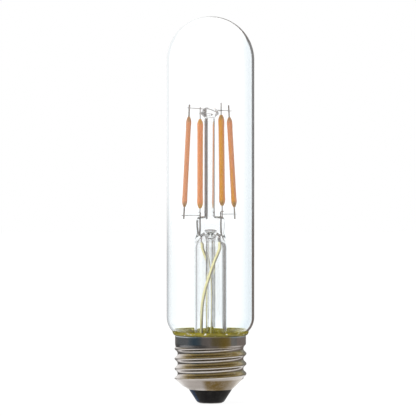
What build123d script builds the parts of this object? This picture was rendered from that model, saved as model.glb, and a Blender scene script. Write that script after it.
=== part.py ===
"""Clear tubular filament lamp with a screw cap.

Millimetres. The origin is the centre of the contact's face, +Z runs up the lamp's axis to the
top of the glass, and the front of the lamp faces -Y.
"""

import os
from math import asin, cos, radians, sin, sqrt

from build123d import *

# Glass envelope: a ten-eighths tube with a round top and a drawn-in neck
LAMP_LENGTH = 140.2
GLASS_DIAMETER = 31.75
GLASS_WALL = 0.8
SHOULDER_SWEEP = 60.0
NECK_DIAMETER = 22.4
NECK_DEPTH = 5.6
KNEE_STEP = 0.925
KNEE_LIFT = 0.1

# Cap shell: collar, rolled thread of one disc a sixth of a turn, and a cone to the mouth
CAP_LENGTH = 24.6
COLLAR_DIAMETER = 25.74
COLLAR_LENGTH = 3.1
THREAD_MAJOR = 26.1
THREAD_MINOR = 23.9
THREAD_PITCH = 3.629
THREAD_DISCS = 19
THREAD_STEPS = 6
THREAD_START = 8.85
THREAD_START_ANGLE = 180.0
SHEET = 0.3
MOUTH_DIAMETER = 15.8
MOUTH_HEIGHT = 5.0
CONE_RINGS = ((6.2, 19.2, 0.8), (7.7, 22.2, 1.0))

# Insulator and contact at the foot of the cap
INSULATOR_TOP = 6.6
INSULATOR_FOOT = 0.2
FOOT_DIAMETER = 9.2
FOOT_BEVEL = 0.9
FOOT_EDGE = 0.225
CONTACT_DIAMETER = 8.6
CONTACT_THICKNESS = 1.0
CONTACT_EDGE = 0.25
SHANK_DIAMETER = 2.0
SHANK_TOP = 3.4

# Cement: the fillet leaves the rim and climbs the glass shoulder to a thin edge; its curve is
# given as (distance out from the rim, height above it)
FILLET_CURVE = ((0.45, 0.1), (0.72, 0.5), (0.88, 0.9), (0.98, 1.3))
CEMENT_RECESS = 0.5

# Stem: flare, tube and flat press
STEM_DIAMETER = 11.9
STEM_WALL = 0.9
FLARE_TOP = 27.5
FLARE_KNEE = (13.8, 23.6)
FLARE_KNEE_DROP = 0.54
FLARE_LIP = 20.2
PRESS_START = 56.8
PRESS_SHOULDER = 60.8
PRESS_TOP = 67.5
PRESS_WIDTH = 10.4
PRESS_THICKNESS = 4.1
PRESS_ROUND = 1.4
ROOF_HEIGHT = 59.6
ROOF_THICKNESS = 1.5
ROOF_CROWN = 0.3

# Exhaust tube on the axis and its vent through the press
EXHAUST_DIAMETER = 3.5
EXHAUST_BORE = 1.5
EXHAUST_TIP = 16.0
EXHAUST_TAPER = 3.0
EXHAUST_TOP = 63.6
VENT_DIAMETER = 1.3
VENT_DROP = 0.2

# Post with a button head
POST_DIAMETER = 3.9
POST_SHIFT = -0.3
BUTTON_DIAMETER = 6.6
BUTTON_DROP = 0.55
BUTTON_FLANK = 1.6
BUTTON_BAND = 1.1
BUTTON_CROWN = 1.5

# Filaments: four about the post, leaning in at the top, each with its strip edge-on to the axis
FOOT_RADIUS = 9.95
HEAD_RADIUS = 8.1
FOOT_TURNS = (28.7, 112.9, 199.0, 294.5)
HEAD_TURNS = (31.9, 118.0, 195.9, 298.0)
COAT_FOOT = 71.1
COAT_LENGTH = 32.7
COAT_LIFTS = (0.0, -0.55, 0.0, 0.45)
COAT_WIDTH = 1.6
COAT_DEPTH = 1.98
COAT_ROUND = 0.72
COAT_TAPER = (1.6, 0.42)
STRIP_WIDTH = 0.9
STRIP_DEPTH = 0.45
STRIP_INSET = 1.6
CHIP_COUNT = 28
CHIP_MARGIN = 0.4
CHIP_SIZE = (0.45, 0.18, 0.7)
PIN_WIDTH = 0.55
PIN_DEPTH = 0.15
PIN_REACH = 4.4

# Wires of the mount
WIRE_DIAMETER = 0.28
WIRE_OVERRUN = 0.9
WELD_GAP = 0.03
SUPPORT_RISES = ((2.35, 3.15), (1.45, 2.05))
CROSS_DROPS = (3.1, 2.6)
LEAD_DIAMETER = 0.5
LEAD_SPREAD = 3.7
LEAD_BEND = 1.2
LEAD_DROPS = (2.0, 1.6)
SLEEVE_DIAMETER = 1.05
SLEEVE_TOP = 58.2
SLEEVE_FOOT = 18.7
RUN_TOP = 56.4
RUN_FOOT = 20.6
RUN_BEND = 3.0
BACK_RUN = ((0.0, 3.0, 47.5), (1.1, 3.0, 36.5))
FRONT_RUN = ((0.6, -2.9, 49.0), (-2.9, -1.6, 34.0))
BACK_PAD = -0.3
FRONT_PAD = -3.6
PAD_FOOT = 15.4

# Driver board standing behind the exhaust tube, and what it carries
BOARD_BACK = 5.0
BOARD_THICKNESS = 1.0
BOARD_WIDTH = 16.0
BOARD_FOOT = 7.6
BOARD_TOP = 18.4
CAPACITOR_DIAMETER = 5.0
CAPACITOR_LENGTH = 8.0
CAPACITOR_HEIGHT = 10.9
CAPACITOR_EDGE = 0.3
RECTIFIER_SIZE = (4.7, 1.6, 3.9)
REGULATOR_SIZE = (4.5, 1.5, 2.5)
CHIP_INSET = 3.0
CHIP_RISE = 3.4
FUSE_DIAMETER = 2.3
FUSE_FOOT = 7.5
FUSE_LENGTH = 5.2
FUSE_EDGE = 0.46
FUSE_HOLE = 14.4
DRIVER_WIRE = 0.5
DRIVER_BEND = 0.8
NEUTRAL_HEIGHT = 16.6
HOLE_SLACK = 0.06
TAIL = 0.7

# Sizes that follow from the ones above
GLASS_RADIUS = GLASS_DIAMETER / 2
NECK_RADIUS = NECK_DIAMETER / 2
NECK_BORE = NECK_RADIUS - GLASS_WALL
NECK_FOOT = CAP_LENGTH - NECK_DEPTH
SHOULDER_RADIUS = (GLASS_RADIUS - NECK_RADIUS - KNEE_STEP) / (1 - cos(radians(SHOULDER_SWEEP)))
SHOULDER_TOP = CAP_LENGTH + KNEE_LIFT + SHOULDER_RADIUS * sin(radians(SHOULDER_SWEEP))
DOME_CENTRE = LAMP_LENGTH - GLASS_RADIUS
THREAD_MEAN = (THREAD_MAJOR + THREAD_MINOR) / 4
THREAD_OFFSET = (THREAD_MAJOR - THREAD_MINOR) / 4
THREAD_END = THREAD_START + THREAD_DISCS * THREAD_PITCH / THREAD_STEPS
CAP_BORE = THREAD_MINOR / 2 - SHEET
COLLAR_BORE = COLLAR_DIAMETER / 2 - SHEET
COLLAR_FOOT = CAP_LENGTH - COLLAR_LENGTH
COAT_HEAD = COAT_FOOT + sqrt(COAT_LENGTH**2 - (FOOT_RADIUS - HEAD_RADIUS) ** 2)
FILAMENT_COUNT = len(FOOT_TURNS)
BUTTON_FOOT = COAT_HEAD - BUTTON_DROP
BUTTON_WAIST = BUTTON_FOOT + BUTTON_FLANK
BUTTON_BROW = BUTTON_WAIST + BUTTON_BAND
BUTTON_TOP = BUTTON_BROW + BUTTON_CROWN
STEM_RADIUS = STEM_DIAMETER / 2
STEM_BORE = STEM_RADIUS - STEM_WALL
FUSE_TOP = FUSE_FOOT + FUSE_LENGTH
BOARD_FRONT = BOARD_BACK - BOARD_THICKNESS
CHIP_SPREAD = BOARD_WIDTH / 2 - CHIP_INSET


def turned(edges):
    """A solid of revolution about the lamp's axis from edges drawn in the XZ plane."""
    return revolve(make_face(edges), Axis.Z)


def outline(*points):
    """A closed outline of straight edges through (radius, height) points."""
    corners = [(x, 0, z) for x, z in points]
    return Polyline(*corners, close=True).edges()


def rod(path, diameter):
    """A round wire along a path."""
    section = Plane(origin=path @ 0, z_dir=path % 0) * Circle(diameter / 2)
    return sweep(section, path=path)


def standing(x, y, foot, top, diameter):
    """An upright round rod."""
    return Pos(x, y, foot) * extrude(Circle(diameter / 2), top - foot)


def glass_side(inset):
    """Edges of the glass from the neck's foot to the top, a set distance inside the outer face."""
    turn = radians(SHOULDER_SWEEP)
    tube = GLASS_RADIUS - inset
    neck = NECK_RADIUS - inset
    bend = SHOULDER_RADIUS - inset
    centre = GLASS_RADIUS - SHOULDER_RADIUS
    knee = (centre + bend * cos(turn), 0, SHOULDER_TOP - bend * sin(turn))
    shoulder = (centre + bend * cos(turn / 2), 0, SHOULDER_TOP - bend * sin(turn / 2))
    dome = (tube * sqrt(0.5), 0, DOME_CENTRE + tube * sqrt(0.5))
    neck_top = knee[2] - (knee[0] - neck) / cos(turn / 2)
    return [
        Line((neck, 0, NECK_FOOT), (neck, 0, neck_top)),
        Line((neck, 0, neck_top), knee),
        ThreePointArc(knee, shoulder, (tube, 0, SHOULDER_TOP)),
        Line((tube, 0, SHOULDER_TOP), (tube, 0, DOME_CENTRE)),
        ThreePointArc((tube, 0, DOME_CENTRE), dome, (0, 0, DOME_CENTRE + tube)),
    ]


def glass_body(inset):
    """The solid bounded by the glass at a set distance inside its outer face."""
    crown = LAMP_LENGTH - inset
    neck = NECK_RADIUS - inset
    closing = [
        Line((0, 0, crown), (0, 0, NECK_FOOT)),
        Line((0, 0, NECK_FOOT), (neck, 0, NECK_FOOT)),
    ]
    return turned(glass_side(inset) + closing)


def make_envelope():
    """The blown tube, open at the neck."""
    return glass_body(0) - glass_body(GLASS_WALL)


def make_flare():
    """The stem's tube below the press, opening out to meet the neck's bore."""
    knee = FLARE_KNEE[0] / 2
    return turned(
        outline(
            (STEM_BORE, PRESS_START),
            (STEM_RADIUS, PRESS_START),
            (STEM_RADIUS, FLARE_TOP),
            (knee, FLARE_KNEE[1]),
            (NECK_BORE, FLARE_LIP),
            (NECK_BORE, FLARE_LIP - STEM_WALL),
            (knee - STEM_WALL, FLARE_KNEE[1] - FLARE_KNEE_DROP),
            (STEM_BORE, FLARE_TOP),
        )
    )


def pinched(radius, foot, shoulder, top, thickness):
    """A round bar pressed flat between two jaws: full at its foot, a thin slab from its shoulder up."""
    half = thickness / 2
    jaws = Polyline(
        (0, -radius, foot),
        (0, radius, foot),
        (0, half, shoulder),
        (0, half, top),
        (0, -half, top),
        (0, -half, shoulder),
        close=True,
    )
    wedge = extrude(make_face(jaws.edges()), radius, dir=(1, 0, 0), both=True)
    return standing(0, 0, foot, top, 2 * radius) & wedge


def make_press():
    """The end of the stem's tube, pressed flat around the leads, with its top corners melted round."""
    slab = pinched(STEM_RADIUS, PRESS_START, PRESS_SHOULDER, PRESS_TOP, PRESS_THICKNESS)
    front = Pos(0, 0, (PRESS_START + PRESS_TOP) / 2) * Rot(X=90) * RectangleRounded(
        PRESS_WIDTH, PRESS_TOP - PRESS_START, PRESS_ROUND
    )
    arch = extrude(front, STEM_RADIUS, both=True)
    foot = standing(0, 0, PRESS_START, PRESS_SHOULDER, STEM_DIAMETER)
    roof = pinched(STEM_BORE, PRESS_START, ROOF_HEIGHT, ROOF_HEIGHT + ROOF_CROWN, ROOF_THICKNESS)
    return (slab & (arch + foot)) - roof


def make_exhaust():
    """The thin tube on the axis, drawn to a sealed tip below and opening through the press above."""
    radius = EXHAUST_DIAMETER / 2
    bore = EXHAUST_BORE / 2
    taper = EXHAUST_TIP + EXHAUST_TAPER
    nib = radius - bore
    return turned(
        outline(
            (0, EXHAUST_TIP),
            (nib, EXHAUST_TIP + nib / 2),
            (radius, taper),
            (radius, EXHAUST_TOP),
            (bore, EXHAUST_TOP),
            (bore, taper),
            (0, EXHAUST_TIP + 2 * nib),
        )
    )


def make_vent():
    """The hole through which the lamp was filled, from the exhaust bore out of the press's back."""
    height = EXHAUST_TOP - VENT_DIAMETER / 2 - VENT_DROP
    drill = Plane(origin=(0, 0, height), z_dir=(0, 1, 0)) * Circle(VENT_DIAMETER / 2)
    return extrude(drill, STEM_RADIUS)


def make_post():
    """The glass rod that stands on the press and ends in a button."""
    rod_radius = POST_DIAMETER / 2
    head = BUTTON_DIAMETER / 2
    ball = (head**2 + BUTTON_CROWN**2) / (2 * BUTTON_CROWN)
    half_turn = asin(head / ball) / 2
    crown = (ball * sin(half_turn), 0, BUTTON_TOP - ball + ball * cos(half_turn))
    return Pos(POST_SHIFT, 0, 0) * turned(
        [
            Line((0, 0, PRESS_TOP), (rod_radius, 0, PRESS_TOP)),
            Line((rod_radius, 0, PRESS_TOP), (rod_radius, 0, BUTTON_FOOT)),
            Line((rod_radius, 0, BUTTON_FOOT), (head, 0, BUTTON_WAIST)),
            Line((head, 0, BUTTON_WAIST), (head, 0, BUTTON_BROW)),
            ThreePointArc((head, 0, BUTTON_BROW), crown, (0, 0, BUTTON_TOP)),
            Line((0, 0, BUTTON_TOP), (0, 0, PRESS_TOP)),
        ]
    )


def filament_ends(index):
    """The foot and head of one filament's coat."""
    lift = COAT_LIFTS[index]
    low = radians(FOOT_TURNS[index])
    high = radians(HEAD_TURNS[index])
    foot = Vector(FOOT_RADIUS * cos(low), FOOT_RADIUS * sin(low), COAT_FOOT + lift)
    head = Vector(HEAD_RADIUS * cos(high), HEAD_RADIUS * sin(high), COAT_HEAD + lift)
    return foot, head


def filament_plane(index):
    """The frame of one filament: X out from the lamp's axis, Y off the strip's face, Z along it."""
    foot, head = filament_ends(index)
    along = (head - foot).normalized()
    middle = (foot + head) * 0.5
    off_face = along.cross(Vector(middle.X, middle.Y, 0)).normalized()
    return Plane(origin=foot, x_dir=off_face.cross(along), z_dir=along)


def filament_point(index, height):
    """The point of one filament's centre line at a height."""
    foot, head = filament_ends(index)
    share = (height - foot.Z) / (head.Z - foot.Z)
    return foot + (head - foot) * share


def box(width, depth, foot, top, y=0.0):
    """An upright block about the local Z axis."""
    return Pos(0, y, foot) * extrude(Rectangle(width, depth), top - foot)


def make_filament(index):
    """One filament: strip, row of chips, two end pins and the coat around them."""
    strip = box(STRIP_WIDTH, STRIP_DEPTH, STRIP_INSET, COAT_LENGTH - STRIP_INSET)
    low_pin = box(PIN_WIDTH, PIN_DEPTH, -PIN_REACH, STRIP_INSET)
    high_pin = box(PIN_WIDTH, PIN_DEPTH, COAT_LENGTH - STRIP_INSET, COAT_LENGTH + PIN_REACH)
    row_foot = STRIP_INSET + CHIP_MARGIN
    row_top = COAT_LENGTH - row_foot
    wide, deep, tall = CHIP_SIZE
    face = STRIP_DEPTH / 2 + deep / 2
    step = (row_top - row_foot - tall) / (CHIP_COUNT - 1)
    feet = [row_foot + n * step for n in range(CHIP_COUNT)]
    chips = [box(wide, deep, low, low + tall, face) for low in feet]
    row = box(wide, deep, row_foot, row_top, face)
    bar = extrude(RectangleRounded(COAT_WIDTH, COAT_DEPTH, COAT_ROUND), COAT_LENGTH)
    for end in bar.faces().filter_by(Plane.XY):
        bar = chamfer(end.edges(), COAT_TAPER[1], COAT_TAPER[0], reference=end)
    coat = bar - strip - low_pin - high_pin - row
    place = filament_plane(index)
    return {
        "strip": place * strip,
        "chips": place * Compound(chips),
        "pins": place * Compound([low_pin, high_pin]),
        "coat": place * coat,
    }


def level(vector):
    """A direction laid flat and made unit length."""
    return Vector(vector.X, vector.Y, 0).normalized()


def pin_reach(index, direction):
    """How far one filament's pins reach from their centre line in a direction."""
    frame = filament_plane(index)
    return abs(direction.dot(frame.x_dir)) * PIN_WIDTH / 2 + abs(direction.dot(frame.y_dir)) * PIN_DEPTH / 2


def tie_wire(first, second, start, end, side):
    """A straight wire welded to the pins of two filaments, on a set side of their centre lines."""
    along = (end - start).normalized() * WIRE_OVERRUN
    reach = max(pin_reach(first, side), pin_reach(second, side))
    shift = side * (reach + WIRE_DIAMETER / 2 + WELD_GAP)
    return rod(Line(start - along + shift, end + along + shift), WIRE_DIAMETER)


def make_support(first, rises):
    """A wire through the button that lies on the head pins of two opposite filaments."""
    second = first + FILAMENT_COUNT // 2
    start = filament_point(first, COAT_HEAD + rises[0])
    end = filament_point(second, COAT_HEAD + rises[1])
    return tie_wire(first, second, start, end, level(end - start).rotate(Axis.Z, 90))


def make_cross(first, second, drop):
    """A wire that joins the foot pins of two neighbours across their outer corners."""
    start = filament_point(first, COAT_FOOT - drop)
    end = filament_point(second, COAT_FOOT - drop)
    return tie_wire(first, second, start, end, level((start + end) * 0.5))


def lead_start(index, drop):
    """The point off the face of one filament's foot pin where a lead is welded."""
    reach = PIN_DEPTH / 2 + LEAD_DIAMETER / 2 + WELD_GAP
    return filament_point(index, COAT_FOOT - drop) + filament_plane(index).y_dir * reach


def lead_corners(side, run, pad):
    """The corners that a lead and its sleeve share, from the press down to the board."""
    return [(side * LEAD_SPREAD, 0, RUN_TOP), *run, (pad, BOARD_FRONT - LEAD_DIAMETER / 2, RUN_FOOT)]


def make_lead(side, run, pad, start):
    """A lead wire from a filament's foot pin through the press and the stem's tube to its pad."""
    corners = lead_corners(side, run, pad)
    top = (side * LEAD_SPREAD, 0, start.Z)
    foot = (corners[-1][0], corners[-1][1], PAD_FOOT)
    bends = [LEAD_BEND] + [RUN_BEND] * len(corners)
    return rod(FilletPolyline(start, top, *corners, foot, radius=bends), LEAD_DIAMETER)


def make_sleeve(side, run, pad):
    """The sleeve on a lead's run through the stem's tube."""
    corners = lead_corners(side, run, pad)
    top = (side * LEAD_SPREAD, 0, SLEEVE_TOP)
    foot = (corners[-1][0], corners[-1][1], SLEEVE_FOOT)
    path = FilletPolyline(top, *corners, foot, radius=[RUN_BEND] * len(corners))
    return rod(path, SLEEVE_DIAMETER) - rod(path, LEAD_DIAMETER)


def make_shell():
    """The rolled cap: a stack of discs whose centres turn about the axis makes a rounded thread."""
    rings = [Pos(0, 0, MOUTH_HEIGHT) * Circle(MOUTH_DIAMETER / 2)]
    start = radians(THREAD_START_ANGLE)
    for height, width, share in CONE_RINGS:
        shift = THREAD_OFFSET * share
        rings.append(Pos(shift * cos(start), shift * sin(start), height) * Circle(width / 2))
    for n in range(THREAD_DISCS + 1):
        turn = start + radians(360 * n / THREAD_STEPS)
        height = THREAD_START + n * THREAD_PITCH / THREAD_STEPS
        rings.append(Pos(THREAD_OFFSET * cos(turn), THREAD_OFFSET * sin(turn), height) * Circle(THREAD_MEAN))
    rings.append(Pos(0, 0, COLLAR_FOOT) * Circle(COLLAR_DIAMETER / 2))
    rings.append(Pos(0, 0, CAP_LENGTH) * Circle(COLLAR_DIAMETER / 2))
    return loft(rings, ruled=True) - turned(outline((0, MOUTH_HEIGHT), *cap_bore(), (0, CAP_LENGTH)))


def cap_bore():
    """The inside of the shell as (radius, height) points, from the mouth up to the rim."""
    height, width, share = CONE_RINGS[-1]
    return [
        (MOUTH_DIAMETER / 2 - SHEET, MOUTH_HEIGHT),
        (width / 2 - THREAD_OFFSET * share - SHEET, height),
        (CAP_BORE, THREAD_START),
        (CAP_BORE, THREAD_END),
        (COLLAR_BORE, COLLAR_FOOT),
        (COLLAR_BORE, CAP_LENGTH),
    ]


def make_insulator():
    """The black foot of the cap, which fills the cone and carries the contact."""
    bore = [point for point in cap_bore() if point[1] < INSULATOR_TOP]
    low, high = bore[-1], cap_bore()[len(bore)]
    share = (INSULATOR_TOP - low[1]) / (high[1] - low[1])
    foot = FOOT_DIAMETER / 2
    flank = (MOUTH_DIAMETER / 2 - foot) / (MOUTH_HEIGHT - INSULATOR_FOOT)
    wire = DRIVER_WIRE / 2
    return turned(
        outline(
            (wire, INSULATOR_TOP),
            (low[0] + (high[0] - low[0]) * share, INSULATOR_TOP),
            *reversed(bore),
            (MOUTH_DIAMETER / 2, MOUTH_HEIGHT),
            (foot + flank * FOOT_BEVEL + FOOT_EDGE, INSULATOR_FOOT + FOOT_BEVEL),
            (foot + FOOT_EDGE, INSULATOR_FOOT + FOOT_EDGE),
            (CONTACT_DIAMETER / 2, INSULATOR_FOOT),
            (CONTACT_DIAMETER / 2, CONTACT_THICKNESS),
            (SHANK_DIAMETER / 2, CONTACT_THICKNESS),
            (SHANK_DIAMETER / 2, SHANK_TOP),
            (wire, SHANK_TOP),
        )
    )


def make_contact():
    """The centre contact: a disc with a shank that the live wire is fixed in."""
    radius = CONTACT_DIAMETER / 2
    shank = SHANK_DIAMETER / 2
    return turned(
        outline(
            (0, 0),
            (radius - CONTACT_EDGE, 0),
            (radius, CONTACT_EDGE),
            (radius, CONTACT_THICKNESS),
            (shank, CONTACT_THICKNESS),
            (shank, SHANK_TOP),
            (0, SHANK_TOP),
        )
    )


def make_cement():
    """The ring of cement between neck and shell, with a fillet from the rim up the shoulder."""
    rim = COLLAR_DIAMETER / 2
    fillet_curve = [(rim + out, CAP_LENGTH + rise) for out, rise in FILLET_CURVE]
    ring = turned(
        outline(
            (NECK_BORE, NECK_FOOT + CEMENT_RECESS),
            (CAP_BORE, NECK_FOOT + CEMENT_RECESS),
            (CAP_BORE, THREAD_END),
            (COLLAR_BORE, COLLAR_FOOT),
            (COLLAR_BORE, CAP_LENGTH),
            (rim, CAP_LENGTH),
            *fillet_curve,
            (NECK_BORE, fillet_curve[-1][1]),
        )
    )
    return ring - glass_body(0)


def make_board():
    """The driver board, standing across the cap behind the exhaust tube."""
    plate = box(BOARD_WIDTH, BOARD_THICKNESS, BOARD_FOOT, BOARD_TOP, BOARD_BACK - BOARD_THICKNESS / 2)
    drill = Plane(origin=(0, BOARD_FRONT, FUSE_HOLE), z_dir=(0, 1, 0)) * Circle(DRIVER_WIRE / 2 + HOLE_SLACK)
    return plate - extrude(drill, BOARD_THICKNESS)


def on_board(size, x):
    """A block soldered flat on the front of the board."""
    wide, deep, tall = size
    return Pos(x, BOARD_FRONT - deep / 2, BOARD_FOOT + CHIP_RISE) * Box(wide, deep, tall)


def make_capacitor():
    """The smoothing capacitor, lying along the back of the board."""
    lying = Plane(
        origin=(-CAPACITOR_LENGTH / 2, BOARD_BACK + CAPACITOR_DIAMETER / 2, CAPACITOR_HEIGHT),
        z_dir=(1, 0, 0),
    )
    can = lying * extrude(Circle(CAPACITOR_DIAMETER / 2), CAPACITOR_LENGTH)
    return chamfer(can.edges().filter_by(GeomType.CIRCLE), CAPACITOR_EDGE)


def make_fuse():
    """The fuse resistor, standing on the axis between the insulator and the exhaust tip."""
    body = standing(0, 0, FUSE_FOOT, FUSE_TOP, FUSE_DIAMETER)
    return chamfer(body.edges().filter_by(GeomType.CIRCLE), FUSE_EDGE)


def make_live():
    """The fuse resistor's two wires: one down to the contact, one bent back through the board."""
    down = standing(0, 0, SHANK_TOP, FUSE_FOOT, DRIVER_WIRE)
    bent = FilletPolyline(
        (0, 0, FUSE_TOP), (0, 0, FUSE_HOLE), (0, BOARD_BACK + TAIL, FUSE_HOLE), radius=DRIVER_BEND
    )
    return Compound([down, rod(bent, DRIVER_WIRE)])


def make_neutral():
    """The wire from the edge of the board to the inside of the shell."""
    middle = BOARD_BACK - BOARD_THICKNESS / 2
    path = Line((BOARD_WIDTH / 2, middle, NEUTRAL_HEIGHT), (CAP_BORE, middle, NEUTRAL_HEIGHT))
    return rod(path, DRIVER_WIRE) & standing(0, 0, BOARD_FOOT, BOARD_TOP, 2 * CAP_BORE)


def make_parts():
    """Every piece of the lamp by name."""
    parts = {"glass_envelope": make_envelope()}
    exhaust = make_exhaust()
    vent = make_vent()
    stem = make_flare() + make_press() - standing(0, 0, PRESS_START, EXHAUST_TOP, EXHAUST_DIAMETER) - vent
    post = make_post()

    for n in range(FILAMENT_COUNT):
        for name, piece in make_filament(n).items():
            parts[f"filament_{n + 1}_{name}"] = piece

    supports = {"support_wire_1": make_support(0, SUPPORT_RISES[0]),
                "support_wire_2": make_support(1, SUPPORT_RISES[1])}
    for wire in supports.values():
        post -= wire
    parts.update(supports)
    parts["cross_wire_1"] = make_cross(1, 2, CROSS_DROPS[0])
    parts["cross_wire_2"] = make_cross(3, 0, CROSS_DROPS[1])

    runs = {"back": (-1, BACK_RUN, BACK_PAD, 1), "front": (1, FRONT_RUN, FRONT_PAD, 3)}
    for name, (side, run, pad, index) in runs.items():
        start = lead_start(index, LEAD_DROPS[index // 2])
        parts[f"lead_wire_{name}"] = make_lead(side, run, pad, start)
        parts[f"lead_sleeve_{name}"] = make_sleeve(side, run, pad)
        stem -= standing(side * LEAD_SPREAD, 0, RUN_TOP, PRESS_TOP, LEAD_DIAMETER)

    parts["stem"] = stem
    parts["exhaust_tube"] = exhaust - vent
    parts["glass_post"] = post
    parts["cap_shell"] = make_shell()
    parts["cap_insulator"] = make_insulator()
    parts["centre_contact"] = make_contact()
    parts["basing_cement"] = make_cement()
    parts["driver_board"] = make_board()
    parts["rectifier"] = on_board(RECTIFIER_SIZE, -CHIP_SPREAD)
    parts["current_regulator"] = on_board(REGULATOR_SIZE, CHIP_SPREAD)
    parts["smoothing_capacitor"] = make_capacitor()
    parts["fuse_resistor"] = make_fuse()
    parts["live_wire"] = make_live()
    parts["neutral_wire"] = make_neutral()
    return parts


def main():
    """Write one STEP file for each piece."""
    os.makedirs("parts", exist_ok=True)
    for name, piece in make_parts().items():
        export_step(piece, f"parts/{name}.step")


main()
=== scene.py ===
"""Looks of the clear tubular filament lamp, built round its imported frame.

Sizes are millimetres in the lamp's own frame: the origin is the middle of the contact's face, +Z runs
up the axis to the top of the glass, and the lamp faces -Y. Meshes are made in metres.
"""

import logging
from dataclasses import dataclass
from enum import Enum
from math import cos, exp, pi, radians, sin, sqrt
from typing import Sequence, Union

import bpy
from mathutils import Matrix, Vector


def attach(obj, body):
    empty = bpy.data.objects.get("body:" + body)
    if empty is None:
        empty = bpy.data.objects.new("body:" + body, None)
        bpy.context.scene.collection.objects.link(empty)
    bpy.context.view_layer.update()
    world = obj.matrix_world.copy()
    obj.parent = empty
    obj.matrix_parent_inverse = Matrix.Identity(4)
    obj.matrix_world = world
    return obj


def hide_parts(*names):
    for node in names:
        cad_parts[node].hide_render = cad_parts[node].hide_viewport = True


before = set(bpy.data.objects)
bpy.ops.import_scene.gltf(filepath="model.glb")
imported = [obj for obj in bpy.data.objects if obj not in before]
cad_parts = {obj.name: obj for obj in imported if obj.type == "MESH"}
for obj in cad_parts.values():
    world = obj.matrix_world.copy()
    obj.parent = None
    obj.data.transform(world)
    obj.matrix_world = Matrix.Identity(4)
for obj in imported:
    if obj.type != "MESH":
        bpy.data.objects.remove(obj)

LOG = logging.getLogger("lamp")
MM = 0.001
BODY = "root"

Pair = tuple[float, float]
Spot = tuple[float, float, float]
Colour = tuple[float, float, float]
Profile = Sequence[Pair]
Stops = Sequence[tuple[float, Colour]]
Ring = list[Vector]
Skin = tuple[list[Vector], list[tuple[int, ...]]]
Socket = bpy.types.NodeSocket
Feed = Union[Socket, float, int, tuple]

WHITE: Colour = (1.0, 1.0, 1.0)
DUSK: Colour = (0.125, 0.108, 0.1)
HAZE: Colour = (0.30, 0.29, 0.29)
PEARL: Colour = (0.69, 0.72, 0.74)
FROST: Colour = (0.70, 0.775, 0.815)
UMBER: Colour = (0.10, 0.078, 0.065)

# Glass faces that a ray passes in the envelope's wall alone, and in the whole envelope
WALL_FACES = 2
ENVELOPE_FACES = 4

# The colour inputs and the colour output of Blender's Mix node
MIX_INPUTS = (6, 7)
MIX_OUTPUT = 2


class Ray(Enum):
    """Kinds of ray that the stage answers differently."""

    CAMERA = "Is Camera Ray"
    SHADOW = "Is Shadow Ray"
    DIFFUSE = "Is Diffuse Ray"
    GLOSSY = "Is Glossy Ray"
    THROUGH = "Is Transmission Ray"


class Count(Enum):
    """What a ray's path is counted by."""

    MIRRORED = "Glossy Depth"
    PASSED = "Transmission Depth"


class Blend(Enum):
    """How one colour is laid on another."""

    OVER = "MIX"
    TINT = "MULTIPLY"


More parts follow.
